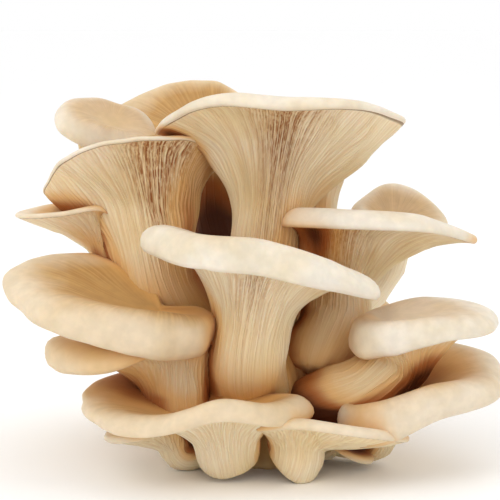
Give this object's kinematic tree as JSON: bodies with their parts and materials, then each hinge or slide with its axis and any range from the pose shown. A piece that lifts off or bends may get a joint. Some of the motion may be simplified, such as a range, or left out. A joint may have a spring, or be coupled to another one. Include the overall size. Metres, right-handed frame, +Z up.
{
  "type": "oyster mushroom cluster",
  "caption": "Cluster of overlapping fan-shaped oyster mushrooms with gilled undersides, grown from one butt with a flat cut base.",
  "frame": {"origin": "on the flat cut face under the butt, which stands on the table, near the middle of the cluster", "axes": "+Z up, -Y towards the side that the picture shows, +X to that side's right"},
  "size_m": [0.172, 0.1418, 0.1325],
  "materials": {
    "mushroom_flesh": "matte, slightly velvety cream to ochre flesh",
    "butt_flesh": "matte, rough grown-together stem bases"
  },
  "bodies": {
    "root": {"butt": "butt_flesh", "crown_mushroom": "mushroom_flesh", "front_mushroom": "mushroom_flesh", "upper_left_mushroom": "mushroom_flesh", "top_left_mushroom": "mushroom_flesh", "top_rear_mushroom": "mushroom_flesh", "rear_right_mushroom": "mushroom_flesh", "rear_mushroom": "mushroom_flesh", "rear_left_mushroom": "mushroom_flesh", "rear_lower_mushroom": "mushroom_flesh", "rear_low_mushroom": "mushroom_flesh", "small_left_mushroom": "mushroom_flesh", "left_shelf_mushroom": "mushroom_flesh", "lower_left_mushroom": "mushroom_flesh", "bottom_left_mushroom": "mushroom_flesh", "bottom_right_mushroom": "mushroom_flesh", "lower_right_mushroom": "mushroom_flesh", "right_mushroom": "mushroom_flesh", "upper_right_mushroom": "mushroom_flesh", "small_right_mushroom": "mushroom_flesh", "low_left_mushroom": "mushroom_flesh", "low_right_mushroom": "mushroom_flesh"}
  },
  "joints": []
}
